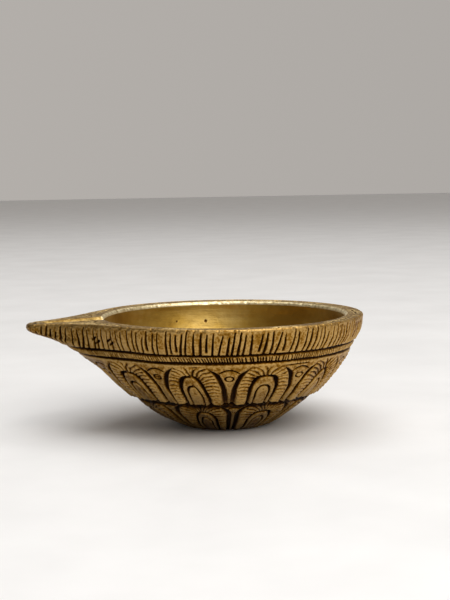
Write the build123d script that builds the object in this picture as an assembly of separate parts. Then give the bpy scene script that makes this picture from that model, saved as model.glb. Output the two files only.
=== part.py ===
from build123d import *
import math
import os

# A brass diya: a small oil lamp, cast in one piece, with a round well and a pointed spout
# that holds the burning end of a cotton wick. Millimetres, +Z up. The origin is the centre
# of the flat base, on the axis of the round well. The spout points along -X.

# ---- the casting ----
HEIGHT = 33.0  # from the flat base to the plane of the rim
RIM_RADIUS = 41.5  # outside of the round rim
SPOUT_REACH = 58.8  # from the axis of the well to the tip of the spout
BASE_RADIUS = 12.2  # the flat that the lamp stands on

# The outside is lofted through level outlines: height, radius of the round part, and reach
# towards the spout. The keel under the spout runs almost straight, down and in.
SECTIONS = [
    (0.0, BASE_RADIUS, 12.5),
    (0.6, 13.4, 13.8),
    (2.5, 17.2, 18.1),
    (5.5, 21.5, 22.9),
    (9.0, 25.6, 27.0),
    (13.0, 30.0, 31.9),
    (17.0, 33.7, 36.3),
    (21.0, 36.7, 41.1),
    (25.0, 38.9, 47.2),
    (28.0, 40.4, 53.4),
    (30.0, 41.2, 58.4),
    (HEIGHT, RIM_RADIUS, SPOUT_REACH),
]
NOSE_MIN = 4.0  # radius of the blunt nose in plan, at the rim
NOSE_SPAN = 18.0  # overhang at which the nose is at its smallest
NOSE_POWER = 1.6  # how fast the nose rounds out below the rim

# ---- level grooves chased round the outside: middle height, width, depth ----
GROOVES = [
    (25.3, 0.9, 0.6),  # under the notched rim band
    (23.2, 0.5, 0.5),  # under the rope band
    (11.1, 0.6, 0.8),  # between the two rows of petals
]

# ---- the well: half an ellipsoid below the rim plane, with a bevelled edge ----
WELL_RADIUS = 36.0
WELL_DEPTH = 28.6
WELL_BEVEL = 1.0

# ---- the top of the spout: it droops a little, and a shallow channel holds the wick ----
DROOP_START = 30.0  # distance from the axis where the droop starts
DROOP = 0.9  # drop at the tip
CHANNEL_START = 33.0  # inside the well, so that the channel opens into it
CHANNEL_END = 54.6
CHANNEL_HALF_WIDTH = 4.4  # at its start
CHANNEL_END_RADIUS = 2.6  # round end near the tip
CHANNEL_DEPTH = 1.1

# ---- the cotton wick, lying loose along the bottom of the well ----
WICK_DIAMETER = 3.0
WICK_ROUTE = [
    (-27.0, 3.0, 16.8),
    (-20.5, 7.2, 12.4),
    (-11.5, 8.6, 8.7),
    (-2.0, 4.0, 6.5),
    (6.0, -3.8, 6.8),
    (15.0, -7.8, 9.7),
    (24.0, -5.5, 14.5),
]
ARC_SHARE = 0.45  # share of the shorter run that an arc takes on each side of its point

OVERSHOOT = 5.0  # how far cutters reach past what they cut


def nose_radius(radius, reach):
    """Radius in plan of an outline's nose, which rounds out as the overhang shrinks."""
    overhang = reach - radius
    share = max(0.0, 1.0 - overhang / NOSE_SPAN) ** NOSE_POWER
    return NOSE_MIN + (radius - NOSE_MIN) * share


def level_outline(height, radius, reach):
    """A level face: the bowl's circle and the nose's circle, joined by their tangents."""
    nose = nose_radius(radius, reach)
    centre = reach - nose
    turn = math.acos((radius - nose) / centre)  # from -X to where the tangents touch
    along, across = -math.cos(turn), math.sin(turn)
    bowl_x, bowl_y = radius * along, radius * across
    nose_x, nose_y = nose * along - centre, nose * across
    bowl_arc = ThreePointArc((bowl_x, -bowl_y), (radius, 0), (bowl_x, bowl_y))
    nose_arc = ThreePointArc((nose_x, nose_y), (-reach, 0), (nose_x, -nose_y))
    far_side = Line((bowl_x, bowl_y), (nose_x, nose_y))
    near_side = Line((nose_x, -nose_y), (bowl_x, -bowl_y))
    return Pos(0, 0, height) * make_face([bowl_arc, far_side, nose_arc, near_side])


def section_at(height):
    """Radius and reach of the outside at any height, between the sections given above."""
    for low, high in zip(SECTIONS, SECTIONS[1:]):
        if low[0] <= height <= high[0]:
            share = (height - low[0]) / (high[0] - low[0])
            return [a + share * (b - a) for a, b in zip(low[1:], high[1:])]
    raise ValueError("height outside the casting")


def groove_cutter(height, width, depth):
    """A level slab round the casting, less what stands inside the groove's floor."""
    radius, reach = section_at(height)
    slab = Box(4 * SPOUT_REACH, 4 * SPOUT_REACH, width)
    floor = extrude(level_outline(-width, radius - depth, reach - depth), 2 * width)
    return Pos(0, 0, height) * (slab - floor)


def well_cutter():
    """The hollow that holds the oil."""
    middle = (0, HEIGHT)
    side = EllipticalCenterArc(middle, WELL_RADIUS, WELL_DEPTH, start_angle=-90, arc_size=90)
    axis_line = Line(middle, side @ 0)
    mouth = Line(side @ 1, middle)
    hollow = revolve(Plane.XZ * make_face([axis_line, side, mouth]), Axis.Z)
    height = WELL_BEVEL + OVERSHOOT
    seat = (Align.CENTER, Align.CENTER, Align.MIN)
    bevel = Cone(WELL_RADIUS, WELL_RADIUS + height, height, align=seat)
    return hollow + Pos(0, 0, HEIGHT - WELL_BEVEL) * bevel


def spout_plane():
    """The drooping plane of the spout's top; its local X runs towards the tip."""
    fall = DROOP / (SPOUT_REACH - DROOP_START)
    length = math.hypot(1, fall)
    towards_tip = (-1 / length, 0, -fall / length)
    upward = (-fall / length, 0, 1 / length)
    return Plane(origin=(-DROOP_START, 0, HEIGHT), x_dir=towards_tip, z_dir=upward)


def droop_cutter():
    """What stands above the drooping plane."""
    length = 2 * (SPOUT_REACH - DROOP_START)
    block = Box(length, 4 * RIM_RADIUS, OVERSHOOT, align=(Align.MIN, Align.CENTER, Align.MIN))
    return spout_plane() * block


def channel_cutter():
    """The shallow channel for the wick: it narrows to a round end near the tip."""
    start = CHANNEL_START - DROOP_START
    middle = CHANNEL_END - CHANNEL_END_RADIUS - DROOP_START
    end = CHANNEL_END - DROOP_START
    outline = [
        Polyline(
            (middle, CHANNEL_END_RADIUS),
            (start, CHANNEL_HALF_WIDTH),
            (start, -CHANNEL_HALF_WIDTH),
            (middle, -CHANNEL_END_RADIUS),
        ),
        ThreePointArc((middle, -CHANNEL_END_RADIUS), (end, 0), (middle, CHANNEL_END_RADIUS)),
    ]
    channel = extrude(make_face(outline), CHANNEL_DEPTH + OVERSHOOT)
    return spout_plane() * (Pos(0, 0, -CHANNEL_DEPTH) * channel)


def cast_bowl():
    """The whole casting: bowl, spout and base are one piece of brass."""
    body = loft([level_outline(*section) for section in SECTIONS], ruled=True)
    for groove in GROOVES:
        body -= groove_cutter(*groove)
    return body - well_cutter() - droop_cutter() - channel_cutter()


def arc_radii(route):
    """The radius of the arc at each inner point of a route of straight runs."""
    radii = []
    for before, point, after in zip(route, route[1:], route[2:]):
        run_in, run_out = Vector(*point) - Vector(*before), Vector(*after) - Vector(*point)
        half_turn = math.radians(run_in.get_angle(run_out)) / 2
        shorter = min(run_in.length, run_out.length)
        radii.append(ARC_SHARE * shorter / math.tan(half_turn))
    return radii


def cotton_wick():
    """The wick's envelope: a round tube along runs joined by tangent arcs."""
    radii = arc_radii(WICK_ROUTE)
    path = FilletPolyline(*WICK_ROUTE, radius=radii)
    section = Plane(origin=path @ 0, z_dir=path % 0) * Circle(WICK_DIAMETER / 2)
    tube = sweep(section, path=path)
    print("wick: length", round(path.length, 1), "radii", [round(r, 1) for r in radii])
    print("wick: volume over section times length",
          round(tube.volume / (math.pi * WICK_DIAMETER**2 / 4 * path.length), 4))
    return tube


os.makedirs("parts", exist_ok=True)
export_step(cast_bowl(), "parts/cast_bowl.step")
export_step(cotton_wick(), "parts/cotton_wick.step")
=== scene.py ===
import math

import bpy
import numpy as np
from mathutils import Matrix, Vector


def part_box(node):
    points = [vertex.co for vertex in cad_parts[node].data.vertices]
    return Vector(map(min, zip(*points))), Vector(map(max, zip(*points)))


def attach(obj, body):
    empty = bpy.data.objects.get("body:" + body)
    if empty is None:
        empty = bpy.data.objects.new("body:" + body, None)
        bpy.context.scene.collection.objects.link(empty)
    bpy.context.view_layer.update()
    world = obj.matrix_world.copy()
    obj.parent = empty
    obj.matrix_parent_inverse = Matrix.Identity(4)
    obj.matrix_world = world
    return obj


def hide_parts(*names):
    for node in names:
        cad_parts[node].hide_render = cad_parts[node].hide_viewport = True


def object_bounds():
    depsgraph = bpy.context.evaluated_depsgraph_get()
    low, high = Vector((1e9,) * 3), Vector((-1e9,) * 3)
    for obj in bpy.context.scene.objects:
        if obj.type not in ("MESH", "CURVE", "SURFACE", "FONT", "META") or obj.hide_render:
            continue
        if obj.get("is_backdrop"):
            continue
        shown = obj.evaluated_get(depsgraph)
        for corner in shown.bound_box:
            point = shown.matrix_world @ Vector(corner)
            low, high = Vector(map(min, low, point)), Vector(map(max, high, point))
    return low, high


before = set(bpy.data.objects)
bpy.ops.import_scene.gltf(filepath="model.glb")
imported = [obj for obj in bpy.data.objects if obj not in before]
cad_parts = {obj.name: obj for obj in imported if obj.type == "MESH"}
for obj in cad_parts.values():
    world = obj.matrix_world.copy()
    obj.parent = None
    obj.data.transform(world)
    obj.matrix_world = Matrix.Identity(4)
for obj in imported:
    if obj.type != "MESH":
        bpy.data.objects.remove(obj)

# A cast brass diya with chased decoration, and the loose cotton wick in its well.
# The casting is one closed mesh: level rings of points up the outside, over the rim and
# down the well. Lengths are in millimetres until a mesh is made, and the frame is the
# CAD frame: +Z up, the base at 0, the well on the Z axis and the spout along -X.

MM = 0.001
cad_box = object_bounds()

# ---- driving sizes, from the frame and from the design ----
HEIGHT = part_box("cast_bowl")[1][2] / MM
WELL_RADIUS, WELL_DEPTH, WELL_BEVEL = 36.0, 28.6, 1.0

COLUMNS = 1920  # points round the outside, a multiple of 64
OUTSIDE_STEP = 0.14  # spacing of the rings down the outside
COLUMN_STEP = 0.14  # about the spacing of the columns round the rim
TOP_RINGS = 72  # rings from the outer edge to the well
BEVEL_RINGS = 10  # rings round the well's bevelled edge
WELL_RINGS = 220  # rings from the bevel to the middle of the well's floor

# Depth below the rim against the radius of the round part, and against the spout's reach.
RADIUS_LINE = [
    (0.0, 41.45), (3.5, 41.0), (9.0, 38.2), (13.0, 36.0), (17.0, 32.5),
    (21.8, 27.5), (25.4, 24.1), (29.0, 19.5), (31.5, 15.8), (33.0, 12.2),
]
REACH_LINE = [
    (0.0, 58.5), (1.3, 58.75), (2.4, 58.2), (3.5, 56.3), (4.7, 53.2), (7.4, 48.2),
    (12.6, 40.3), (17.0, 34.6), (21.8, 29.0), (25.8, 24.9), (29.5, 19.9), (33.0, 12.6),
]
NOSE_MIN, NOSE_SPAN, NOSE_POWER = 4.0, 18.0, 1.6
BOWL_PINCH, NOSE_PINCH = math.radians(4), math.radians(24)  # hollows the spout's flanks
PINCH_DEPTH = 12.0  # depth at which the flanks run straight
DROOP, DROOP_START, DROOP_END, DROOP_DEPTH = 0.9, 30.0, 58.5, 8.0

# Casting pits in the well: degrees round the axis from +X, depth below the rim, and radius.
WELL_PITS = [
    (90, 6.3, 0.34), (106, 6.0, 0.24), (64, 9.0, 0.25),
    (215, 12.0, 0.4), (300, 8.0, 0.35), (20, 15.0, 0.4),
]

# The wick's channel along the top of the spout.
CHANNEL_END, CHANNEL_HALF, CHANNEL_TIP, CHANNEL_DEPTH = 54.6, 4.4, 2.6, 1.1
EDGE_DROP = 0.14  # how far the worn outer edge lies below the rim plane

# Bands down the outside, by depth below the rim.
GROOVE_1, GROOVE_2, ROW_LINE = 7.6, 9.75, 22.2
TOOL_SLIPS = [(0.088, 4.0), (0.092, 5.0), (0.108, 4.3), (0.111, 5.2), (0.62, 3.8), (0.81, 5.0)]
EXTRA_LINE = 0.311, 0.343  # ends of a short third line, as shares of the way round the rim
# The skin's unevenness: height, and how many swells there are round it and down it.
SKIN = [(0.03, 900, 150), (0.04, 420, 70), (0.05, 110, 18), (0.10, 30, 6)]

# The lines of a petal, from its tongue outwards: half width as a share of half the pitch,
# depth of its top below the rim, depth over which it widens, and how pointed it is.
UPPER_LINES = [
    (0.17, 16.6, 1.4, 0.28),  # tongue
    (0.245, 16.0, 1.8, 0.30),  # inner edge of the arch
    (0.33, 13.95, 3.2, 0.28),  # outer edge of the arch
    (0.455, 13.3, 3.6, 0.24),  # inner edge of the ribbed border
    (0.765, 9.6, 7.6, 0.333),  # outer edge of the ribbed border
]
LOWER_LINES = [
    (0.20, 28.0, 1.2, 0.35),
    (0.265, 27.4, 1.5, 0.33),
    (0.36, 26.2, 2.2, 0.30),
    (0.47, 25.6, 2.6, 0.27),
    (0.765, 21.6, 4.8, 0.333),
]
# Angles round the axis from the keel. The first upper petals are a little wider.
UPPER_PETALS, UPPER_FIRST, UPPER_WIDE = 11, math.radians(31), math.radians(33.9)
LOWER_PETALS, LOWER_FIRST = 8, math.radians(17.5)

rng = np.random.default_rng(11)


def placed(name, data):
    """A new object in the scene."""
    made = bpy.data.objects.new(name, data)
    bpy.context.scene.collection.objects.link(made)
    return made


def smoothstep(low, high, x):
    t = np.clip((x - low) / (high - low), 0, 1)
    return t * t * (3 - 2 * t)


def curve_through(points, x):
    """A smooth curve through the points that never overshoots them."""
    xs, ys = np.array(points, float).T
    run, slope = np.diff(xs), np.diff(ys) / np.diff(xs)
    inner = np.where(
        slope[1:] * slope[:-1] > 0,
        2 * slope[1:] * slope[:-1] / (slope[1:] + slope[:-1] + 1e-12),
        0,
    )
    m = np.concatenate([[slope[0]], inner, [slope[-1]]])
    i = np.clip(np.searchsorted(xs, x) - 1, 0, len(xs) - 2)
    t = np.clip((x - xs[i]) / run[i], 0, 1)
    return (
        ys[i] * (1 + 2 * t) * (1 - t) ** 2
        + ys[i + 1] * t * t * (3 - 2 * t)
        + run[i] * (m[i] * t * (1 - t) ** 2 + m[i + 1] * t * t * (t - 1))
    )


def noise(cells_round, cells_down, rows, columns):
    """Smooth seeded noise from -1 to 1 on a grid that closes round its columns."""
    values = rng.uniform(-1, 1, (cells_down + 2, cells_round))
    y = np.linspace(0, cells_down, rows)[:, None]
    x = np.linspace(0, cells_round, columns, endpoint=False)[None, :]
    i, j = y.astype(int), x.astype(int)
    fy, fx = y - i, x - j
    fy, fx = fy * fy * (3 - 2 * fy), fx * fx * (3 - 2 * fx)
    right = (j + 1) % cells_round
    top = values[i, j] * (1 - fx) + values[i, right] * fx
    low = values[i + 1, j] * (1 - fx) + values[i + 1, right] * fx
    return top * (1 - fy) + low * fy


def noise_round(cells):
    """Smooth seeded noise from -1 to 1 that only varies round the columns."""
    return noise(cells, 1, 2, COLUMNS)[:1]


# ---------------- the plain casting
def nose_radius(radius, reach):
    share = max(0.0, 1.0 - (reach - radius) / NOSE_SPAN) ** NOSE_POWER
    return NOSE_MIN + (radius - NOSE_MIN) * share


def half_outline(radius, reach, pinch):
    """A level outline's near half, from the keel round to the back."""
    nose = nose_radius(radius, reach)
    centre = reach - nose
    hull = math.acos((radius - nose) / centre)
    leave, land = hull + pinch * NOSE_PINCH, hull - pinch * BOWL_PINCH
    a = np.linspace(0, leave, 80)
    b = np.linspace(land, math.pi, 500)
    tip = np.stack([-centre - nose * np.cos(a), -nose * np.sin(a)], 1)
    bowl = np.stack([-radius * np.cos(b), -radius * np.sin(b)], 1)
    start, end = tip[-1], bowl[0]
    reach_out = np.linalg.norm(end - start) / 3
    out = start + reach_out * np.array([math.sin(leave), -math.cos(leave)])
    into = end - reach_out * np.array([math.sin(land), -math.cos(land)])
    t = np.linspace(0, 1, 120)[1:-1, None]
    flank = (
        start * (1 - t) ** 3 + 3 * out * t * (1 - t) ** 2
        + 3 * into * t * t * (1 - t) + end * t**3
    )
    return np.concatenate([tip, flank, bowl])


def level_ring(radius, reach, pinch, columns):
    """Evenly spaced points of an outline, from the keel by the near side; and its length."""
    half = half_outline(radius, reach, pinch)
    steps = np.linalg.norm(np.diff(half, axis=0), axis=1)
    along = np.concatenate([[0], np.cumsum(steps)])
    share = np.linspace(0, 2, columns, endpoint=False)
    near = np.where(share <= 1, share, 2 - share) * along[-1]
    x = np.interp(near, along, half[:, 0])
    y = np.interp(near, along, half[:, 1]) * np.where(share <= 1, 1, -1)
    return np.stack([x, y], 1), 2 * along[-1]


def droop(x):
    return DROOP * smoothstep(DROOP_START - 4, DROOP_END + 12, -x) * 1.35


def outside_depths():
    """Depths whose rings lie evenly along the round side."""
    fine = np.linspace(0, HEIGHT, 4000)
    radius = curve_through(RADIUS_LINE, fine)
    along = np.concatenate([[0], np.cumsum(np.hypot(np.diff(fine), np.diff(radius)))])
    count = int(along[-1] / OUTSIDE_STEP)
    return np.interp(np.linspace(0, along[-1], count), along, fine)


def plain_outside(depths):
    """The outside with no decoration: points, and each ring's length."""
    radius = curve_through(RADIUS_LINE, depths)
    reach = curve_through(REACH_LINE, depths)
    points = np.zeros((len(depths), COLUMNS, 3))
    lengths = np.zeros(len(depths))
    for i, depth in enumerate(depths):
        pinch = 1 - smoothstep(0, PINCH_DEPTH, depth)
        ring, lengths[i] = level_ring(radius[i], reach[i], pinch, COLUMNS)
        points[i, :, :2] = ring
        fade = max(0.0, 1 - depth / DROOP_DEPTH)
        points[i, :, 2] = HEIGHT - depth - droop(ring[:, 0]) * fade
    return points, lengths


def outward(points):
    """Unit normals of a grid of rings, pointing out of the metal."""
    down = np.gradient(points, axis=0)
    ahead = (np.roll(points, -1, 1) - np.roll(points, 1, 1)) / 2
    normal = np.cross(down, ahead)
    return normal / np.linalg.norm(normal, axis=2, keepdims=True)


# ---------------- the chased relief
def groove(distance, width, depth):
    """A rounded cut: distance from its middle line, full width and depth."""
    t = np.clip(1 - np.abs(distance) / (width / 2), 0, 1)
    return -depth * smoothstep(0, 0.75, t)


def v_cut(distance, width, depth):
    """A sharp chisel cut: distance from its middle line, full width and depth."""
    return -depth * np.clip(1 - np.abs(distance) / (width / 2), 0, 1) ** 0.8


def dent(across, down, radius, depth):
    """A round punched dent, from the distances to its middle."""
    return -depth * np.exp(-((across**2 + down**2) / radius**2))


# Height across a petal. 0 is its axis, 1 to 5 its lines, 6 the far edge of the crescent
# cut beside it, and 7 the middle of the small petal between it and the next.
PETAL_SECTION = [
    (0.0, 0.03), (0.75, 0.03), (0.95, -0.04), (1.35, -0.46), (1.65, -0.46), (1.95, -0.10),
    (2.15, 0.06), (2.5, 0.04), (2.85, 0.05), (3.0, -0.10), (3.4, -0.75), (3.7, -0.78),
    (4.0, -0.16), (4.15, 0.02), (4.5, 0.12), (4.85, 0.16), (5.0, 0.02), (5.35, -0.74),
    (5.7, -0.64), (6.0, -0.06), (6.2, 0.08), (6.5, 0.0), (7.0, 0.0),
]


# What the small petals hold: an oval eye, three dots in an eye, or two dots.
EYES = [
    [("ring", 0)],
    [("ring", 0), ("dot", -0.5), ("dot", 0.05), ("dot", 0.55)],
    [("dot", -0.45), ("dot", 0.4)],
]


def petal_lines(lines, depth, sloped):
    """Each line's half width at each point, negative above its top. sloped, from 0 to 1,
    makes the shoulders fall away."""
    widths = []
    for share, top, rise, point in lines:
        opened = np.clip((depth - top) / (rise * (1 + sloped)), 0, 1)
        width = share * opened ** (point * (1 + sloped))
        widths.append(np.where(depth > top, width, (depth - top) * 0.05))
    return widths


def place_between(across, widths):
    """Where each point lies among the lines: 0 on the axis, 1 on the first line, and on."""
    before = np.minimum(0, widths[0] - 0.05)
    place = np.zeros(np.broadcast(across, before).shape)
    for width in widths:
        width = np.maximum(width, before + 0.004)
        place += np.clip((across - before) / (width - before), 0, 1)
        before = width
    return place


def ribs(place, across, depth, spring, foot, slope, turn_length, waver):
    """Small overlapping scales along a petal's border, fanning out at its top."""
    turn = np.arctan2(np.maximum(spring - depth, 0), across)
    along = (foot - np.maximum(depth, spring)) * slope + turn * turn_length
    middle = place - 4.5
    phase = along + 2.1 * turn * middle + 1.5 * middle**2 + waver
    part = phase - np.floor(phase)
    ridge = np.sin(math.pi * part**0.6) ** 0.6
    on_border = smoothstep(3.96, 4.08, place) * (1 - smoothstep(4.9, 5.0, place))
    return on_border * (ridge - 0.85) * (0.85 + 2.6 * middle**2)


def small_petal(place, beside, sign, depth, top, size, eyes):
    """The field between two petals: an arched line, and an eye or punched dots."""
    clear = smoothstep(6.0, 6.25, place)
    arched = depth - (top + 0.9 + 1.15 * (beside / (3.1 * size)) ** 2)
    relief = groove(arched, 0.55, 0.42) * clear
    side = beside * sign
    centre = top + 0.9 + 2.5 * size
    for kind, offset in eyes:
        if kind == "ring":
            oval = np.hypot(side / (1.15 * size), (depth - centre) / (0.68 * size))
            relief += groove((oval - 1.0) * 0.85 * size, 0.55, 0.48) * clear
        else:
            relief += dent(side - offset, depth - centre, 0.3, 0.34) * clear
    return relief


def petal_row(row, x, index, half_pitch, depth, waver):
    """The relief of one row of petals, and of the small petals between them. x runs from
    -1 to 1 across each petal, and half_pitch is the distance in mm that 1 stands for."""
    side = (x > 0).astype(int)
    across = np.abs(x)
    sloped = row["sloped"][index, side]
    top, spring, foot, size = row["top"], row["spring"], row["foot"], row["size"]
    widths = petal_lines(row["lines"][:4], depth, sloped * (depth < foot))
    widths += petal_lines(row["lines"][4:], depth, 0)
    low = smoothstep(spring - 1, foot, depth)
    crescent = row["crescent"] * (1 + (row["low"][index, side] - 1) * low)
    crescent = crescent * smoothstep(top - 0.1, top + 2.4 * size, depth)
    widths.append(widths[4] + np.maximum(crescent, 0.002))
    widths.append(np.ones_like(across))
    place = place_between(across, widths)

    relief = np.interp(place, *np.array(PETAL_SECTION).T)
    arch_top = row["lines"][1][1]
    thin = 0.6 + 0.4 * smoothstep(arch_top + 0.4, arch_top + 2.4 * size, depth)
    relief = np.where(place < 2, np.minimum(relief, relief * thin), relief)
    apex = np.exp(-((across * half_pitch / (1.7 * size)) ** 2)) * (depth < spring)
    relief = np.where(np.abs(place - 3.5) < 0.5, relief * (1 - 0.45 * apex), relief)
    in_crescent = smoothstep(4.9, 5.05, place) * (1 - smoothstep(6.0, 6.15, place))
    shallow = smoothstep(0.0, 0.07, crescent)
    relief = relief * (1 - in_crescent * (1 - shallow))
    fade = smoothstep(top - 0.4, top + 0.5, depth)
    relief = np.where(place < 4.95, relief * fade, relief)
    relief += row["rib"] * fade * ribs(
        place, across * half_pitch, depth, spring, foot, row["slope"], row["turn_length"],
        waver + 3.0 * row["phase"][index, side])

    # keyholes: the deep grooves end in punched pits at the arches' shoulders
    deep, narrow = row["lines"][3][1] + 1.7 * size, arch_top + 0.8 * size
    relief += dent((place - 3.5) * 1.3, depth - deep, 0.75 * size, 0.38) * (sloped < 0.5)
    relief += dent((place - 1.5) * 1.1, depth - narrow, 0.45 * size, 0.28)

    # two short dashes over the plumes
    for dash_x, dash_depth in ((0.13, top - 0.15), (0.29, top + 0.75)):
        dash = np.hypot(np.maximum(np.abs(x - dash_x) * half_pitch - 0.55, 0), depth - dash_depth)
        relief += groove(dash, 0.34, 0.25) * row["dashes"][index]

    beside = (1 - across) * half_pitch
    gap = (index + side - 1) % len(row["phase"])
    for kind in range(len(EYES)):
        chosen = (row["eyes"][gap] == kind) & (place > 5.9)
        sign = np.where(side == 1, -1, 1)
        relief += chosen * small_petal(place, beside, sign, depth, top - 0.15, size, EYES[kind])
    return relief


def upper_middles():
    """The middle of each upper petal, as an angle from the keel. One is on the keel, four
    wide ones follow it, and the rest share what is left, with the unevenness of handwork."""
    wide = UPPER_FIRST + UPPER_WIDE * np.arange(4)
    rest = np.linspace(wide[-1], 2 * math.pi, UPPER_PETALS - 3)[1:-1]
    return np.concatenate([[0.0], wide, rest + rng.uniform(-0.015, 0.015, len(rest))])


def lower_middles():
    """The same for the lower row, whose petals are evenly spaced."""
    even = LOWER_FIRST + np.arange(LOWER_PETALS) * 2 * math.pi / LOWER_PETALS
    return even + rng.uniform(-0.015, 0.015, LOWER_PETALS)


def across_petals(middles, turns):
    """Each point's petal, its place across it from -1 to 1, and the angle of 1."""
    count = len(middles)
    ends = np.concatenate([[middles[-1] - 2 * math.pi], middles, [2 * math.pi + middles[0]]])
    right = np.clip(np.searchsorted(ends, turns, side="right"), 1, len(ends) - 1)
    gap = ends[right] - ends[right - 1]
    t = (turns - ends[right - 1]) / gap
    index = np.where(t < 0.5, right - 2, right - 1) % count
    return index, np.where(t < 0.5, 2 * t, 2 * t - 2), gap / 2


def handwork(count):
    """How each petal of a row differs from the next."""
    return {
        "sloped": rng.choice([0.0, 0.15, 0.9], p=[0.5, 0.3, 0.2], size=(count, 2)),
        "low": rng.choice([0.4, 0.9, 1.3], p=[0.3, 0.4, 0.3], size=(count, 2)),
        "phase": rng.uniform(0, 1, (count, 2)),
        "dashes": rng.choice([0.0, 1.0], p=[0.5, 0.5], size=count),
        "eyes": rng.choice([0, 1, 2], p=[0.6, 0.2, 0.2], size=count),
    }


def upper_row():
    row = handwork(UPPER_PETALS)
    row["sloped"][1:4] = [(0.0, 0.2), (0.0, 0.9), (0.1, 0.0)]
    row["low"][1:4] = [(1.0, 0.9), (0.45, 1.5), (1.5, 0.8)]
    row["dashes"][2:4] = 1.0, 0.0
    row["phase"][1:4] = [(0.1, 0.6), (0.0, 0.3), (0.5, 0.9)]
    row["eyes"][1:4] = 1, 0, 0
    return row | {
        "lines": UPPER_LINES, "top": 10.9, "spring": 17.2, "foot": ROW_LINE, "size": 1.0,
        "slope": 1.15, "turn_length": 5.6, "crescent": 0.165, "rib": 0.46,
    }


def lower_row():
    row = handwork(LOWER_PETALS)
    row["low"][:] = 1.0
    row["eyes"][:] = 2
    row["dashes"][:] = 0.0
    return row | {
        "lines": LOWER_LINES, "top": 23.2, "spring": 27.6, "foot": HEIGHT, "size": 0.75,
        "slope": 1.4, "turn_length": 5.0, "crescent": 0.21, "rib": 0.55,
    }


def climbed(points, lengths):
    """For each point, where the line straight up the slope from it meets the top edge:
    a distance round the rim in mm, and how much narrower the pattern is than there."""
    rows = len(points)
    column = np.arange(COLUMNS)
    reached = np.zeros((rows, COLUMNS))
    reached[0] = column * lengths[0] / COLUMNS
    squeeze = np.ones((rows, COLUMNS))
    wide = np.arange(-40, COLUMNS + 40)
    for i in range(1, rows):
        above = points[i - 1, :, :2]
        ahead = (np.roll(above, -1, 0) - np.roll(above, 1, 0)) / 2
        spacing = np.linalg.norm(ahead, axis=1)
        shift = ((points[i, :, :2] - above) * ahead).sum(1) / spacing**2
        before, after = reached[i - 1, -40:] - lengths[0], reached[i - 1, :40] + lengths[0]
        around = np.concatenate([before, reached[i - 1], after])
        reached[i] = np.interp(column + np.clip(shift, -39, 39), wide, around)
        span = (np.roll(reached[i], -1) - np.roll(reached[i], 1)) / 2
        span = np.where(span < -lengths[0] / 4, span + lengths[0] / 2, span)
        squeeze[i] = np.clip(lengths[i] / COLUMNS / np.maximum(span, 1e-3), 0.05, 1.5)
    return reached, squeeze


def notches(depths, rim, around, squeeze):
    """Upright chisel cuts round the rim band, uneven in spacing, length and lean. They
    stand closer, and waver, round the side away from the spout."""
    relief = np.zeros_like(around)
    d = depths[:, None]
    place = 0.9
    while place < rim - 1.2:
        close = math.exp(-(((place / rim - 0.5) / 0.09) ** 2))
        top = rng.choice([0.2, 0.7, 1.2, 2.0], p=[0.35, 0.35, 0.2, 0.1]) + rng.uniform(-0.2, 0.2)
        bottom = GROOVE_1 - rng.choice([0.0, 0.5, 1.2], p=[0.75, 0.15, 0.1])
        from_keel = min(place, rim - place)
        away = math.copysign(smoothstep(8, 30, from_keel), rim / 2 - place)
        lean = rng.normal(0, 0.05) - 0.12 * away
        width, cut = rng.uniform(0.55, 0.9), rng.uniform(0.48, 0.72) * (1 - 0.35 * close)
        cut *= 0.55 + 0.45 * smoothstep(3, 12, from_keel)
        waver = (0.02 + 0.22 * close) * np.sin(d * rng.uniform(0.9, 1.7) + rng.uniform(0, 6))
        offset = around - place - lean * (d - 4) - waver
        offset = (offset + rim / 2) % rim - rim / 2
        near = (np.abs(offset) < 3.0) & (d < GROOVE_1 + 0.5)
        distance = offset[near] * squeeze[near]
        depth = np.broadcast_to(d, around.shape)[near]
        start = smoothstep(top, top + 0.8, depth)
        taper = start * (1 - smoothstep(bottom - 0.4, bottom + 0.3, depth))
        wedge = 0.58 + 0.75 * smoothstep(top, bottom, depth)
        cut_here = v_cut(distance, width * wedge, cut)
        lips = 0.05 * np.exp(-(((np.abs(distance) - width * 0.75) / 0.13) ** 2))
        relief[near] += (cut_here + lips) * taper
        step = rng.choice([1.5, 1.8, 2.2, 2.7], p=[0.35, 0.35, 0.2, 0.1])
        place += step * (1 - 0.35 * close) + rng.uniform(-0.2, 0.2)
    for share, depth in TOOL_SLIPS:
        aside = around - share * rim
        along = np.maximum(np.abs(aside) - 0.7, 0)
        relief += v_cut(np.hypot(along, d - depth + 0.5 * aside), 0.85, 0.5)
    burrs = noise(520, 5, len(depths), COLUMNS)
    return np.maximum(relief, -0.62) + 0.03 * burrs * smoothstep(0.4, 1.2, d)


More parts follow.
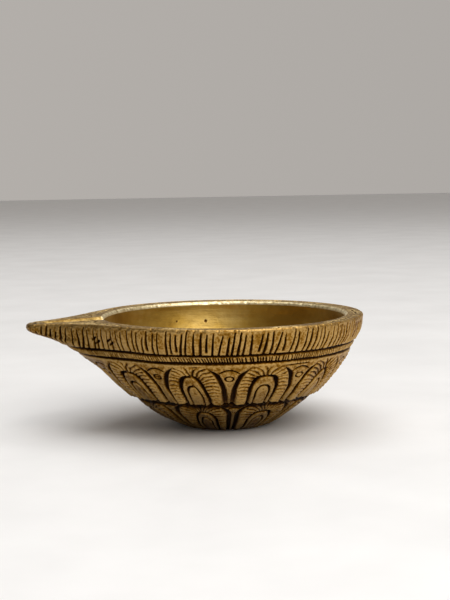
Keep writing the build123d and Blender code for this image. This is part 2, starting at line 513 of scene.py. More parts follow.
def rope(depths, rim, around, squeeze):
    """Short slanting strokes between the two level grooves."""
    relief = np.zeros_like(around)
    d = depths[:, None]
    middle = (GROOVE_1 + GROOVE_2) / 2
    band = (depths > GROOVE_1) & (depths < GROOVE_2 + 0.2)
    around, squeeze, d = around[band], squeeze[band], d[band]
    inside = smoothstep(GROOVE_1 + 0.35, GROOVE_1 + 0.6, d)
    inside = inside * (1 - smoothstep(GROOVE_2 - 0.35, GROOVE_2 - 0.1, d))
    strokes = np.zeros_like(around)
    order = np.argsort(around[len(d) // 2])
    across, narrowed = around[len(d) // 2][order], squeeze[len(d) // 2][order]
    place, slant = 0.3, 0.4
    while place < rim - 0.3:
        target = 0.45 if place < 0.24 * rim else 0.05
        slant = np.clip(slant + 0.15 * (target - slant) + rng.normal(0, 0.07), -0.5, 0.7)
        offset = around - place - slant * (d - middle)
        near = np.abs(offset) < 1.5
        strokes[near] += v_cut(offset[near] * squeeze[near], 0.6, rng.uniform(0.4, 0.7))
        step = rng.choice([0.72, 0.95, 1.3], p=[0.5, 0.35, 0.15]) + rng.uniform(-0.08, 0.08)
        place += step / max(0.4, np.interp(place, across, narrowed))
    relief[band] = np.maximum(strokes, -0.7) * inside
    return relief


def extra_line(depths, rim, around):
    """A short third line under the grooves, with a few dashes over it."""
    d = depths[:, None]
    start, end = EXTRA_LINE
    middle, half = (start + end) / 2 * rim, (end - start) / 2 * rim
    beyond = np.maximum(np.abs(around - middle) - half, 0)
    relief = groove(np.hypot(d - GROOVE_2 - 1.15, beyond), 0.42, 0.35)
    for share in np.linspace(0.45, 0.95, 5):
        across = around - middle + half - share * 2 * half
        down = np.maximum(np.abs(d - GROOVE_2 - 0.75) - 0.25, 0)
        relief += v_cut(np.hypot(across, down), 0.4, 0.25)
    return relief


def chased_relief(depths, points, lengths):
    """How far the decorated surface stands out from the plain one, in millimetres, and a
    painted shade that lies along and just under the line between the rows."""
    rows = len(depths)
    d = depths[:, None]
    wander = 0.10 * noise_round(26)
    around, squeeze = climbed(points, lengths)
    relief = notches(depths, lengths[0], around, squeeze)
    relief += rope(depths, lengths[0], around, squeeze)
    relief += extra_line(depths, lengths[0], around)
    heavy = 1 + 0.22 * noise_round(40)
    relief += groove(d - GROOVE_1 - wander, 1.15 * heavy, 0.62)
    relief += groove(d - GROOVE_2 - 0.7 * wander, 1.05 * heavy[:, ::-1], 0.6)

    turns = np.arctan2(-points[:, :, 1], -points[:, :, 0]) % (2 * math.pi)
    turns[:, 0] = 0
    radius = np.linalg.norm(points[:, :, :2], axis=2)
    waver = 0.2 * noise(120, 34, rows, COLUMNS)
    line = ROW_LINE + 0.18 * noise_round(160) + 0.1 * noise_round(50)
    lines_wander = d + 0.16 * noise(36, 8, rows, COLUMNS)
    petals = {}
    rows_of_petals = (
        ("upper", upper_row(), upper_middles()),
        ("lower", lower_row(), lower_middles()),
    )
    for name, row, middles in rows_of_petals:
        index, x, half_gap = across_petals(middles, turns)
        petals[name] = petal_row(row, x, index, half_gap * radius, lines_wander, waver)
    below_bands = smoothstep(GROOVE_2 + 0.1, GROOVE_2 + 0.5, d)
    in_lower = smoothstep(line - 0.1, line + 0.2, d)
    relief += 1.12 * below_bands * (petals["upper"] * (1 - in_lower) + petals["lower"] * in_lower)
    bulge = smoothstep(11.5, 21, d) * (1 - smoothstep(line - 0.15, line + 0.15, d))
    relief += 1.1 * bulge
    pits = np.clip(noise_round(330) - 0.1, 0, 1)
    relief += groove(d - line - 0.1, 1.2, 0.62) * (0.7 + 0.7 * pits)

    for height, cells_round, cells_down in SKIN:
        relief += height * noise(cells_round, cells_down, rows, COLUMNS)
    relief -= 0.3 * (1 - smoothstep(0, 0.55, d)) ** 2
    nicks = np.clip(noise_round(150) - 0.25, 0, 1)
    nicks = nicks + np.clip(noise_round(420) - 0.2, 0, 1)
    relief -= 0.35 * nicks * (1 - smoothstep(0.2, 1.0, d))
    # Painted shade along and just under the line between the rows, uneven along its length.
    shade_unevenness = 0.7 + 0.5 * noise(260, 60, rows, COLUMNS)
    return relief, np.exp(-(((d - line - 1.1) / 0.62) ** 2)) * shade_unevenness


# ---------------- rings into a mesh
def blurred(field, reach):
    """A box blur of a grid that closes round its columns."""
    around = sum(np.roll(field, k, 1) for k in range(-reach, reach + 1))
    rows = np.arange(len(field))
    both = sum(around[np.clip(rows + k, 0, rows[-1])] for k in range(-reach, reach + 1))
    return both / (2 * reach + 1) ** 2


def band_faces(a, n, b, m):
    """Faces between a ring of n points numbered from a and one of n, n / 2 or 1 from b."""
    i = np.arange(n if m == 1 else m)
    j = (i + 1) % len(i)
    if m == n:
        return [np.stack([a + i, a + j, b + j, b + i], 1)]
    if m == 1:
        return [np.stack([a + i, a + j, b + 0 * i], 1)]
    mid, far = 2 * i + 1, (2 * i + 2) % n
    return [
        np.stack([a + 2 * i, a + mid, b + i], 1),
        np.stack([a + mid, b + j, b + i], 1),
        np.stack([a + mid, a + far, b + j], 1),
    ]


def mesh_from_rings(name, rings):
    """One closed mesh through rings of points; a ring may have half its neighbour's count.
    The first and the last ring are one point each."""
    counts = [len(ring) for ring in rings]
    starts = np.cumsum([0] + counts[:-1])
    faces = []
    for a, n, b, m in zip(starts, counts, starts[1:], counts[1:]):
        if n >= m:
            faces += band_faces(a, n, b, m)
        else:
            faces += [turned[:, ::-1] for turned in band_faces(b, m, a, n)]
    points = np.concatenate(rings)
    corners = np.concatenate([f.ravel() for f in faces])
    sizes = np.concatenate([np.full(len(f), f.shape[1]) for f in faces])
    mesh = bpy.data.meshes.new(name)
    mesh.vertices.add(len(points))
    mesh.vertices.foreach_set("co", (points * MM).astype(np.float32).ravel())
    mesh.loops.add(len(corners))
    mesh.loops.foreach_set("vertex_index", corners.astype(np.int32))
    mesh.polygons.add(len(sizes))
    mesh.polygons.foreach_set("loop_start", (np.cumsum(sizes) - sizes).astype(np.int32))
    mesh.polygons.foreach_set("use_smooth", np.ones(len(sizes), bool))
    mesh.update(calc_edges=True)
    return mesh


def channel_side(xy):
    """Distance inside the edge of the wick channel, below 0 outside it."""
    along = -xy[..., 0]
    tip = CHANNEL_END - CHANNEL_TIP
    share = np.clip((along - WELL_RADIUS) / (tip - WELL_RADIUS), 0, 1)
    half = CHANNEL_HALF + (CHANNEL_TIP - CHANNEL_HALF) * share
    past = np.maximum(along - tip, 0)
    return np.where(along > 0, half - np.hypot(past, xy[..., 1]), -9.0)


def top_relief(edge, inner):
    """Wear on the rim and the shelf: a broken line round the rim, nicks across its edge,
    and long cracks beside the channel."""
    share = np.linspace(0, 1, TOP_RINGS + 1)[1:, None]
    width = np.linalg.norm(edge[:, :2] - inner, axis=1)[None, :]
    place = share * width
    broken = smoothstep(-0.35, 0.15, noise_round(46))
    ragged = 0.35 * noise_round(90) + 0.2 * noise_round(260)
    relief = groove(place - 1.9 - ragged, 1.1, 0.32) * broken
    for middle in rng.uniform(0, COLUMNS, 60):
        across = (np.arange(COLUMNS)[None, :] - middle + COLUMNS / 2) % COLUMNS - COLUMNS / 2
        across = across * COLUMN_STEP + rng.normal(0, 0.5) * place
        length = rng.uniform(0.5, 2.4)
        nick = v_cut(across, 0.42, rng.uniform(0.1, 0.3))
        relief += nick * (1 - smoothstep(0.6, 1, place / length))
    for _ in range(14):
        start, spread = rng.uniform(20, 210), rng.uniform(25, 70)
        sign = rng.choice([-1, 1])
        column = np.arange(COLUMNS)[None, :]
        column = np.minimum(column, COLUMNS - column) if sign > 0 else column
        end = start + spread
        on = smoothstep(start - 8, start + 8, column) * (1 - smoothstep(end, end + 12, column))
        line = rng.uniform(0.12, 0.8) + rng.normal(0, 0.002) * (column - start)
        distance = (share - line) * width + ragged
        relief += v_cut(distance, 0.5, rng.uniform(0.12, 0.28)) * on
    relief += 0.05 * noise(300, 12, TOP_RINGS, COLUMNS) + 0.07 * noise(70, 3, TOP_RINGS, COLUMNS)
    return np.maximum(relief, -0.45)


def well_directions(edge):
    """Unit directions round the axis, one for each point of the outer edge. They follow
    the edge's own angles, evened out so that no two columns run together."""
    even = 2 * math.pi * np.arange(COLUMNS) / COLUMNS
    lag = np.unwrap(np.arctan2(edge[:, 1], edge[:, 0])) - even
    angle = even + sum(np.roll(lag, k) for k in range(-20, 21)) / 41
    return np.stack([np.cos(angle), np.sin(angle)], 1)


def top_surface(edge):
    """Rings from the outer edge to the well: the rim, and the spout's shelf and channel.
    Also how bright each point is polished, with a painted highlight along the outer edge."""
    inner = well_directions(edge) * (WELL_RADIUS + WELL_BEVEL)
    relief = top_relief(edge, inner)
    rings, polish_and_highlight = [], []
    ragged = 0.28 * noise(330, 5, TOP_RINGS, COLUMNS)
    for k, t in enumerate(np.linspace(0, 1, TOP_RINGS + 1)[1:]):
        xy = edge[:, :2] * (1 - t) + inner * t
        inside = channel_side(xy) + ragged[k]
        rough = relief[k] * math.sin(math.pi * t) ** 0.35 * (1 - smoothstep(-0.2, 0.3, inside))
        lip = 0.12 * smoothstep(0, 0.06, t)
        channel = CHANNEL_DEPTH * smoothstep(0, 0.75, inside)
        z = HEIGHT - droop(xy[:, 0]) - EDGE_DROP + lip + rough - channel
        rings.append(np.column_stack([xy, z]))
        # The channel is polished bright; along the outer edge, partly edge wear and partly a painted
        # highlight.
        polish_and_highlight.append(0.6 * smoothstep(-0.15, 0.45, inside) + 0.35 * (1 - smoothstep(0, 0.2, t)))
    return rings, np.array(polish_and_highlight), relief


def well_surface(edge):
    """Rings down the bevel and the well, from its top edge to the middle of its floor."""
    angle = np.arctan2(edge[:, 1], edge[:, 0])
    direction = np.stack([np.cos(angle), np.sin(angle)], 1)
    top = edge[:, 2]
    rings, pits = [], []
    chips = 0.25 * np.clip(noise_round(170)[0] - 0.3, 0, 1)
    for t in np.linspace(0, 1, BEVEL_RINGS + 1)[1:]:
        turn = t * math.pi / 2
        radius = WELL_RADIUS + WELL_BEVEL * (1 - math.sin(turn)) + chips * math.sin(math.pi * t)
        z = top - WELL_BEVEL * (1 - math.cos(turn))
        rings.append(np.column_stack([direction * radius[:, None], z]))
    start = math.asin(WELL_BEVEL / WELL_DEPTH)
    bevel_z = rings[-1][:, 2]
    uneven = 0.10 * noise(14, 9, WELL_RINGS, COLUMNS) + 0.03 * noise(60, 30, WELL_RINGS, COLUMNS)
    for k, t in enumerate(np.linspace(0, 1, WELL_RINGS)[1:]):
        turn = start + t * (math.pi / 2 - start)
        depth = WELL_DEPTH * math.sin(turn)
        dip = 0
        for degrees, pit_depth, size in WELL_PITS:
            aside = angle - math.radians(degrees)
            across = np.arctan2(np.sin(aside), np.cos(aside)) * WELL_RADIUS
            dip = dip + dent(across, depth - pit_depth, size, 0.7 * size)
        fade = smoothstep(0, 0.03, t) * (1 - smoothstep(0.93, 0.98, t))
        radius = np.maximum(WELL_RADIUS * math.cos(turn) + (uneven[k] - dip) * fade, 0)
        sagged = (bevel_z - (HEIGHT - WELL_BEVEL)) * (1 - smoothstep(0, 0.12, t))
        rings.append(np.column_stack([direction * radius[:, None], HEIGHT - depth + sagged]))
        pits.append(dip * fade)
    none = [np.zeros(COLUMNS)] * BEVEL_RINGS
    return rings, none + pits


def thinned(rings, centre_z):
    """Rings towards the axis lose half their points as they shrink, down to one point."""
    out, keep = [], 1
    for ring in rings:
        radius = np.linalg.norm(ring[:, :2], axis=1).mean()
        points = ring[::keep]
        while len(points) > 30 and radius * 2 * math.pi / len(points) < 0.09:
            keep *= 2
            points = ring[::keep]
        if radius < 0.4:
            break
        if out and len(out[-1]) > 2 * len(points):
            points = ring[:: keep // 2] if keep > 1 else points
            keep //= 2
        out.append(points)
    out.append(np.array([[0.0, 0.0, centre_z]]))
    return out


def counted(rings):
    return sum(len(ring) for ring in rings)


def counted_like(rings, values):
    """Values of the full rings, thinned as the rings were."""
    kept = [value[:: COLUMNS // len(ring)][: len(ring)] for value, ring in zip(values, rings)]
    return np.concatenate(kept + [np.zeros(counted(rings) - sum(len(k) for k in kept))])


def casting():
    depths = outside_depths()
    plain, lengths = plain_outside(depths)
    relief, row_line_shade = chased_relief(depths, plain, lengths)
    outside = plain + outward(plain) * relief[:, :, None]
    outside[:, :, 2] = np.maximum(outside[:, :, 2], 0.0)
    top, polish_and_highlight, scratches = top_surface(outside[0])
    well, pits = well_surface(top[-1])
    base_edge = outside[-1].copy()
    base_edge[:, 2] = 0
    foot = [np.column_stack([base_edge[:, :2] * t, np.zeros(COLUMNS)])
            for t in np.linspace(1, 0, 30)[1:]]
    low = thinned(foot, 0.0)
    inside = thinned(well, HEIGHT - WELL_DEPTH)
    pitted = counted_like(inside, pits)
    mesh = mesh_from_rings("brass_casting", low[::-1] + list(outside[::-1]) + top + inside)

    # What the finish follows: the cuts, below 0, and what stands proud, above 0, whose broad term
    # paints shade into wide hollows;
    #     which surface it is, from -1 at the base to 2 in the well; and how bright it is polished.
    cuts = 0.55 * (relief - blurred(relief, 7)) + 0.45 * (relief - blurred(relief, 30))
    # Painted shade: the cuts are darkened along and just under the line between the rows.
    cuts -= 0.5 * row_line_shade
    # Partly edge wear and partly a painted highlight: the outside's top edge is lightened.
    cuts += 0.45 * (1 - smoothstep(0.1, 0.75, depths[:, None]))
    top_cuts = scratches - blurred(scratches, 9)
    below, within = np.zeros(counted(low)), np.zeros(counted(inside))
    plain_side, plain_top = np.zeros(relief.size), np.zeros(polish_and_highlight.size)
    # Partly polish and partly a painted highlight: the well's bevelled edge takes the bright
    # polished colour.
    bevel_rub_and_highlight = np.zeros_like(within)
    bevel_rub_and_highlight[:BEVEL_RINGS * COLUMNS] = np.repeat(np.linspace(0.8, 1.0, BEVEL_RINGS), COLUMNS)
    fields = {
        "relief": [below, cuts[::-1].ravel(), top_cuts.ravel(), pitted],
        "surface": [below - 1, plain_side, plain_top + 1, within + 2],
        "polish_and_highlight": [below, plain_side, polish_and_highlight.ravel(), bevel_rub_and_highlight],
    }
    for name, parts in fields.items():
        attribute = mesh.attributes.new(name, "FLOAT", "POINT")
        attribute.data.foreach_set("value", np.concatenate(parts).astype(np.float32))
    return placed("brass_casting", mesh)


# ---------------- materials
class Nodes:
    """Adds linked nodes to a new material or world. Textures are in object coordinates."""

    def __init__(self, owner, shader="Principled BSDF"):
        owner.use_nodes = True
        self.owner, self.tree = owner, owner.node_tree
        self.shader = self.tree.nodes[shader]
        self.coordinates = self.add("TexCoord")

    def put(self, socket, value):
        """Links a socket, or gives it a constant."""
        if isinstance(value, bpy.types.NodeSocket):
            self.tree.links.new(value, socket)
        else:
            socket.default_value = value

    def add(self, kind, links=None, **settings):
        made = self.tree.nodes.new("ShaderNode" + kind)
        for key, value in settings.items():
            setattr(made, key, value)
        for key, value in (links or {}).items():
            self.put(made.inputs[key], value)
        return made.outputs

    def noise(self, size, detail=3.0, stretch=(1, 1, 1)):
        """Noise from 0 to 1 with features about size millimetres across."""
        scale = tuple(part / (size * MM) for part in stretch)
        place = self.add("Mapping", {"Vector": self.coordinates["Object"], "Scale": scale})["Vector"]
        return self.add("TexNoise", {"Vector": place, "Scale": 1.0, "Detail": detail})["Fac"]

    def attribute(self, name):
        return self.add("Attribute", attribute_name=name)["Fac"]

    def ranged(self, value, low, high, to_low=0.0, to_high=1.0, smooth=False):
        links = {"Value": value, "From Min": low, "From Max": high,
                 "To Min": to_low, "To Max": to_high}
        kind = "SMOOTHSTEP" if smooth else "LINEAR"
        return self.add("MapRange", links, interpolation_type=kind)["Result"]

    def math(self, operation, a, b):
        return self.add("Math", {0: a, 1: b}, operation=operation)["Value"]

    def varied(self, value, texture, low, high, least, most):
        """A value with a texture added, which runs from least to most."""
        return self.math("ADD", value, self.ranged(texture, low, high, least, most))

    def mixed(self, share, a, b, blend="MIX"):
        links = {"Factor": share, 6: a, 7: b}
        return self.add("Mix", links, data_type="RGBA", blend_type=blend)[2]

    def mixed_value(self, share, a, b):
        return self.add("Mix", {"Factor": share, 2: a, 3: b}, data_type="FLOAT")[0]

    def ramp(self, value, stops):
        made = self.tree.nodes.new("ShaderNodeValToRGB")
        elements = made.color_ramp.elements
        while len(elements) < len(stops):
            elements.new(0.5)
        for element, (position, colour) in zip(elements, stops):
            element.position = position
            element.color = (*colour, 1)
        self.tree.links.new(value, made.inputs["Fac"])
        return made.outputs["Color"]

    def set(self, **sockets):
        """Sets the shader's sockets, and returns what the nodes belong to."""
        for name, value in sockets.items():
            self.put(self.shader.inputs[name.replace("_", " ")], value)
        return self.owner


def brass():
    """Antique brass: dark patina in the cuts, with painted shade in wide hollows and under the line
    between the rows; darker towards the base and the spout's tip, partly patina and partly painted
    shade; gold rubbed bright on what stands proud; satin gold in the well, with painted shade in its
    pits; and a dull filed top with a bright polished channel, and painted highlights on the rim's
    outer edge and the well's bevel."""
    made = Nodes(bpy.data.materials.new("antique_brass"))
    surface = made.attribute("surface")
    polish_and_highlight = made.attribute("polish_and_highlight")
    parts = made.add("SeparateXYZ", {"Vector": made.coordinates["Object"]})
    along, height = parts["X"], parts["Z"]

    mottle = made.noise(5.0, 4.0)
    grain = made.noise(0.6, 4.0)
    # Patina in the cuts and brass rubbed bright on what stands proud, with the painted shade and
    # painted highlight that the relief attribute carries.
    wear_patina_and_painted_light = made.ranged(made.attribute("relief"), -0.36, 0.18)
    wear_patina_and_painted_light = made.varied(wear_patina_and_painted_light, mottle, 0.3, 0.7, -0.10, 0.10)
    wear_patina_and_painted_light = made.varied(wear_patina_and_painted_light, grain, 0.33, 0.67, -0.13, 0.13)
    wear_patina_and_painted_light = made.varied(wear_patina_and_painted_light, made.noise(2.4, 4.0), 0.25, 0.45, -0.10, 0.0)
    outside = made.ramp(wear_patina_and_painted_light, [
        (0.0, (0.014, 0.005, 0.001)), (0.25, (0.034, 0.012, 0.001)),
        (0.48, (0.080, 0.028, 0.002)), (0.64, (0.18, 0.077, 0.006)),
        (0.80, (0.28, 0.136, 0.017)), (1.0, (0.51, 0.315, 0.10)),
    ])
    # Partly patina and partly painted shade: the outside is darkened towards the base and towards
    # the spout's tip.
    low = made.ranged(height, 2 * MM, 19 * MM, 0.62, 1.0, smooth=True)
    spout = made.ranged(along, -48 * MM, -10 * MM, 0.62, 1.0, smooth=True)
    tone = made.math("MULTIPLY", low, spout)
    outside = made.add("HueSaturation", {"Color": outside, "Value": tone})["Color"]

    top_wear = made.ranged(made.attribute("relief"), -0.20, 0.09)
    top_wear = made.varied(top_wear, mottle, 0.3, 0.7, -0.12, 0.12)
    top_wear = made.varied(top_wear, grain, 0.33, 0.67, -0.11, 0.13)
    top = made.ramp(top_wear, [
        (0.0, (0.02, 0.009, 0.003)), (0.45, (0.11, 0.062, 0.015)),
        (0.7, (0.25, 0.145, 0.034)), (1.0, (0.70, 0.52, 0.23)),
    ])
    # Bright polished brass for the channel, which also paints the highlights on the rim's outer edge
    # and the well's bevel.
    polish_and_highlight_colour = made.ramp(made.varied(polish_and_highlight, made.noise(1.2, 4.0), 0.3, 0.7, -0.26, 0.14), [
        (0.3, (0.24, 0.14, 0.035)), (0.6, (0.44, 0.30, 0.10)), (0.95, (0.96, 0.84, 0.54)),
    ])
    top = made.mixed(made.ranged(polish_and_highlight, 0.1, 0.5), top, polish_and_highlight_colour)

    in_well = made.ranged(surface, 1.2, 1.8)
    cloud = made.varied(made.noise(16.0, 3.0), made.noise(2.2, 5.0), 0.3, 0.7, -0.04, 0.04)
    well = made.ramp(cloud, [
        (0.32, (0.33, 0.185, 0.028)), (0.5, (0.43, 0.265, 0.052)), (0.68, (0.53, 0.36, 0.11)),
    ])
    # Painted shade: the casting pits in the well are coloured dark brown.
    pit_shade = made.ranged(made.attribute("relief"), -0.05, -0.01, 1.0, 0.0)
    well = made.mixed(made.ranged(polish_and_highlight, 0.1, 0.5), well, polish_and_highlight_colour)
    well = made.mixed(made.math("MULTIPLY", pit_shade, in_well), well, (0.10, 0.045, 0.01, 1))

    on_top = made.ranged(surface, 0.2, 0.8)
    colour = made.mixed(in_well, made.mixed(on_top, outside, top), well)

    scuffed = made.ranged(wear_patina_and_painted_light, 0.2, 0.9, 0.62, 0.43)
    rough_top = made.ranged(polish_and_highlight, 0.15, 0.9, 0.52, 0.34)
    satin = made.ranged(made.noise(1.2, 4.0), 0.3, 0.7, 0.40, 0.48)
    roughness = made.mixed_value(in_well, made.mixed_value(on_top, scuffed, rough_top), satin)

    hammered = made.math("MULTIPLY", made.noise(0.35, 3.0), made.ranged(in_well, 0, 1, 1.0, 0.25))
    skin = made.math("ADD", hammered, made.math("MULTIPLY", made.noise(1.6, 2.0), 0.8))
    lathe = made.math("MULTIPLY", made.noise(0.5, 2.0, stretch=(0.03, 0.03, 1.4)), 0.5)
    skin = made.math("ADD", skin, made.math("MULTIPLY", lathe, in_well))
    bump = made.add("Bump", {"Height": skin, "Strength": 0.5, "Distance": 0.16 * MM})
    return made.set(Base_Color=colour, Metallic=1.0, Roughness=roughness, Normal=bump["Normal"])


def cotton():
    """Raw white cotton: soft, matt, and slightly uneven in tone."""
    made = Nodes(bpy.data.materials.new("raw_cotton"))
    fibre = made.noise(0.16, 3.0)
    tone = made.varied(made.noise(2.5, 3.0), fibre, 0.3, 0.7, -0.15, 0.15)
    colour = made.ramp(tone, [
        (0.3, (0.62, 0.56, 0.44)), (0.5, (0.80, 0.76, 0.66)), (0.7, (0.88, 0.86, 0.79)),
    ])
    roughness = made.ranged(fibre, 0.3, 0.7, 0.85, 0.97)
    bump = made.add("Bump", {"Height": fibre, "Strength": 0.5, "Distance": 0.06 * MM})
    return made.set(Base_Color=colour, Roughness=roughness, Normal=bump["Normal"],
                    Sheen_Weight=0.35, Sheen_Roughness=0.6)


def floor_paint():
    """Pale matt paint, with the faintest mottling."""
    made = Nodes(bpy.data.materials.new("studio_floor"))
    greys = [(0.3, (0.82, 0.82, 0.82)), (0.7, (0.88, 0.88, 0.88))]
    tone = made.ramp(made.noise(40.0, 4.0), greys)
    roughness = made.ranged(made.noise(9.0), 0.3, 0.7, 0.6, 0.75)
    return made.set(Base_Color=tone, Roughness=roughness)


# ---------------- the cotton wick
WICK_ROUTE = [
    (-27.0, 3.0, 16.8), (-20.5, 7.2, 12.4), (-11.5, 8.6, 8.7), (-2.0, 4.0, 6.5),
    (6.0, -3.8, 6.8), (15.0, -7.8, 9.7), (24.0, -5.5, 14.5),
]
PLIES, PLY_RADIUS, PLY_OFFSET, TWIST = 3, 0.84, 0.74, 8.5  # twist: millimetres a turn
PLY_SIDES, PLY_STEPS = 30, 300


def wick_line():
    """Points along the route's smooth line, in millimetres."""
    data = bpy.data.curves.new("wick_route", "CURVE")
    data.dimensions = "3D"
    spline = data.splines.new("NURBS")
    spline.points.add(len(WICK_ROUTE) - 1)
    for point, place in zip(spline.points, WICK_ROUTE):
        point.co = (*(part * MM for part in place), 1)
    spline.order_u = 3
    spline.use_endpoint_u = True
    data.resolution_u = 40
    carrier = bpy.data.objects.new("wick_route", data)
    mesh = bpy.data.meshes.new_from_object(carrier)
    points = np.array([vertex.co for vertex in mesh.vertices], float) / MM
    bpy.data.objects.remove(carrier)
    bpy.data.meshes.remove(mesh)
    steps = np.linalg.norm(np.diff(points, axis=0), axis=1)
    along = np.concatenate([[0], np.cumsum(steps)])
    even = np.linspace(0, along[-1], PLY_STEPS)
    return np.stack([np.interp(even, along, points[:, k]) for k in range(3)], 1), along[-1]


def travelling_axes(line):
    """Tangents of a line, and two axes across it that turn as little as they can."""
    tangents = np.gradient(line, axis=0)
    tangents /= np.linalg.norm(tangents, axis=1, keepdims=True)
    side = np.cross(tangents[0], (0, 0, 1))
    first = []
    for tangent in tangents:
        side = side - tangent * side.dot(tangent)
        side = side / np.linalg.norm(side)
        first.append(side)
    first = np.array(first)
    return tangents, first, np.cross(tangents, first)


def tube(line, radii, sides, start):
    """Rings of points round a line, closed with a point at each end, and their faces."""
    tangents, first, second = travelling_axes(line)
    angle = np.linspace(0, 2 * math.pi, sides, endpoint=False)
    cos, sin = np.cos(angle)[:, None], np.sin(angle)[:, None]
    ring = first[:, None] * cos + second[:, None] * sin
    points = line[:, None] + ring * np.broadcast_to(radii, (len(line), sides))[:, :, None]
    cap = np.mean(radii[0]), np.mean(radii[-1])
    ends = [line[0] - tangents[0] * cap[0] * 0.5, line[-1] + tangents[-1] * cap[1] * 0.5]
    faces = []
    for i in range(len(line) - 1):
        a, b = start + i * sides, start + (i + 1) * sides
        faces += [(a + j, a + (j + 1) % sides, b + (j + 1) % sides, b + j) for j in range(sides)]
    first_end = start + len(line) * sides
    last = start + (len(line) - 1) * sides
    for j in range(sides):
        faces.append((first_end, start + (j + 1) % sides, start + j))
        faces.append((first_end + 1, last + j, last + (j + 1) % sides))
    return np.concatenate([points.reshape(-1, 3), ends]), faces


def near_ends(along, share):
    """1 at the ends of a line and 0 beyond a share of it from them."""
    return smoothstep(1 - share, 1, along) + 1 - smoothstep(0, share, along)


def wandering(along, count):
    """Seeded values from -1 to 1 along a line, with straight runs between them."""
    return np.interp(along, np.linspace(0, 1, count), rng.uniform(-1, 1, count))


def ply_tubes(line, axes):
    """The twisted plies, each grooved by its fibres and thinned at its ends."""
    _, first, second = axes
    along = np.linspace(0, 1, len(line))
    length = np.linalg.norm(np.diff(line, axis=0), axis=1).sum()
    sides = np.linspace(0, 2 * math.pi, PLY_SIDES, endpoint=False)
    for k in range(PLIES):
        turn = 2 * math.pi * (along * length / TWIST + k / PLIES)
        loose = 1 + 0.25 * near_ends(along, 0.05)
        wobble = 0.05 * wandering(along, 25)
        offset = (PLY_OFFSET * loose + wobble)[:, None]
        path = line + offset * (np.cos(turn)[:, None] * first + np.sin(turn)[:, None] * second)
        thin = 1 - 0.35 * near_ends(along, 0.025)
        swell = 1 + 0.05 * wandering(along, 40)
        fibres = 0.035 * np.sin(9 * sides[None, :] - 14 * turn[:, None] / PLIES + 2 * k)
        fibres = fibres + 0.025 * np.sin(17 * sides[None, :] - 21 * turn[:, None] / PLIES)
        uneven = 0.03 * rng.uniform(-1, 1, (len(line), PLY_SIDES))
        yield path, PLY_RADIUS * (thin * swell)[:, None] * (1 + fibres + uneven)


def loose_fibres(line, axes):
    """Fine fibres that stand off the wick, and a short brush of them at each end."""
    tangents, first, second = axes
    for kind, count in (("side", 260), ("start", 46), ("end", 46)):
        for _ in range(count):
            turn, angle = rng.uniform(0, 2 * math.pi), rng.normal(0, 0.5)
            if kind == "side":
                at = rng.integers(6, len(line) - 6)
                radius, reach = PLY_OFFSET + PLY_RADIUS * 0.82, rng.uniform(0.5, 1.1)
                forward, outward_part = rng.choice([-1, 1]) * 0.9, rng.uniform(0.15, 0.42)
            else:
                at = 0 if kind == "start" else len(line) - 1
                radius, reach = rng.uniform(0, 1.05), rng.uniform(0.6, 1.35)
                forward, outward_part = (-1 if kind == "start" else 1), rng.uniform(-0.2, 0.4)
            out = np.cos(turn) * first[at] + np.sin(turn) * second[at]
            around = np.cross(tangents[at], out)
            root = line[at] + out * radius
            heading = tangents[at] * forward + out * outward_part + around * angle
            bend = around * rng.normal(0, 0.25) - out * abs(rng.normal(0, 0.12))
            t = np.linspace(0, 1, 5)[:, None]
            path = root + reach * (heading * t + bend * t * t)
            yield path, np.linspace(0.034, 0.014, 5)[:, None]


def cotton_wick():
    line, length = wick_line()
    axes = travelling_axes(line)
    points, faces, count = [], [], 0
    shapes = [(path, radii, PLY_SIDES) for path, radii in ply_tubes(line, axes)]
    shapes += [(path, radii, 4) for path, radii in loose_fibres(line, axes)]
    for path, radii, sides in shapes:
        made, around = tube(path, radii, sides, count)
        points.append(made)
        faces += around
        count += len(made)
    mesh = bpy.data.meshes.new("twisted_wick")
    mesh.from_pydata(np.concatenate(points) * MM, [], faces)
    mesh.polygons.foreach_set("use_smooth", np.ones(len(faces), bool))
    mesh.materials.append(cotton())
    piece = placed("twisted_wick", mesh)
    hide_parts("cotton_wick")
    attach(piece, "wick")
    [tuple(p) for p in line * MM]


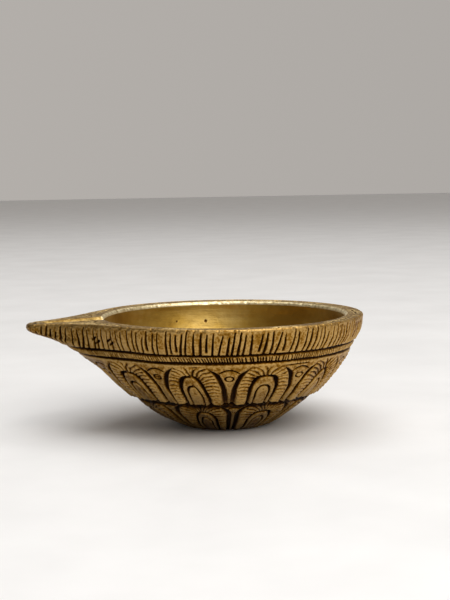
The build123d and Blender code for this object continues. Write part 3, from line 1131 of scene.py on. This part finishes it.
# ---------------- the studio
def floor():
    mesh = bpy.data.meshes.new("floor")
    mesh.from_pydata([(-4, -4, 0), (4, -4, 0), (4, 4, 0), (-4, 4, 0)], [], [(0, 1, 2, 3)])
    mesh.materials.append(floor_paint())
    placed("floor", mesh)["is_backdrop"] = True


def soft_light(name, place, size, power, colour=(1, 1, 1)):
    """A square area light that points at the lamp."""
    data = bpy.data.lights.new(name, "AREA")
    data.shape, data.size, data.energy, data.color = "SQUARE", size, power, colour
    light = placed(name, data)
    light.location = place
    light.rotation_mode = "QUATERNION"
    light.rotation_quaternion = (Vector((0, 0, 0.02)) - Vector(place)).to_track_quat("-Z", "Y")


def studio():
    """Even grey surroundings, a little darker on the spout's side, and two soft lights."""
    made = Nodes(bpy.data.worlds.new("studio"), "Background")
    across = made.add("SeparateXYZ", {"Vector": made.coordinates["Generated"]})["X"]
    greys = made.ramp(made.ranged(across, -1.0, 1.0), [
        (0.0, (0.12, 0.113, 0.106)), (0.5, (0.45, 0.425, 0.40)), (1.0, (0.37, 0.35, 0.33)),
    ])
    bpy.context.scene.world = made.set(Color=greys, Strength=1.0)
    bpy.context.scene.view_settings.view_transform = "Standard"
    soft_light("key", (0.20, -0.48, 0.55), 0.55, 2.7, (1.0, 0.98, 0.95))
    soft_light("top", (0.10, 0.10, 1.30), 1.40, 11.0)


SPOUT_YAW, ELEVATION, ROLL = math.radians(10), math.radians(6.3), math.radians(0.85)
DISTANCE = 374 * MM
LENS = 74.8


def camera():
    """A view from a little above the rim, with the spout turned towards it."""
    rim = Vector((0, 0, HEIGHT * MM))
    back = Vector((
        -math.sin(SPOUT_YAW) * math.cos(ELEVATION),
        -math.cos(SPOUT_YAW) * math.cos(ELEVATION),
        math.sin(ELEVATION),
    ))
    data = bpy.data.cameras.new("camera")
    data.lens, data.sensor_width = LENS, 36.0
    data.clip_start, data.clip_end = 0.01, 20
    made = placed("camera", data)
    made.location = rim + back * DISTANCE
    right = Vector((back.y, -back.x, 0)).normalized() * -1
    target = rim + Vector((0, 0, 4.0 * MM)) + right * 0.3 * MM
    turn = (target - made.location).to_track_quat("-Z", "Y").to_matrix().to_4x4()
    made.rotation_mode = "QUATERNION"
    made.rotation_quaternion = (turn @ Matrix.Rotation(-ROLL, 4, "Z")).to_quaternion()
    bpy.context.scene.camera = made


camera()
studio()
floor()
cotton_wick()
piece = casting()
piece.data.materials.append(brass())
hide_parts("cast_bowl")
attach(piece, "lamp")

boxes = {"cad": cad_box, "visual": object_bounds()}
{k: [list(corner) for corner in box] for k, box in boxes.items()}
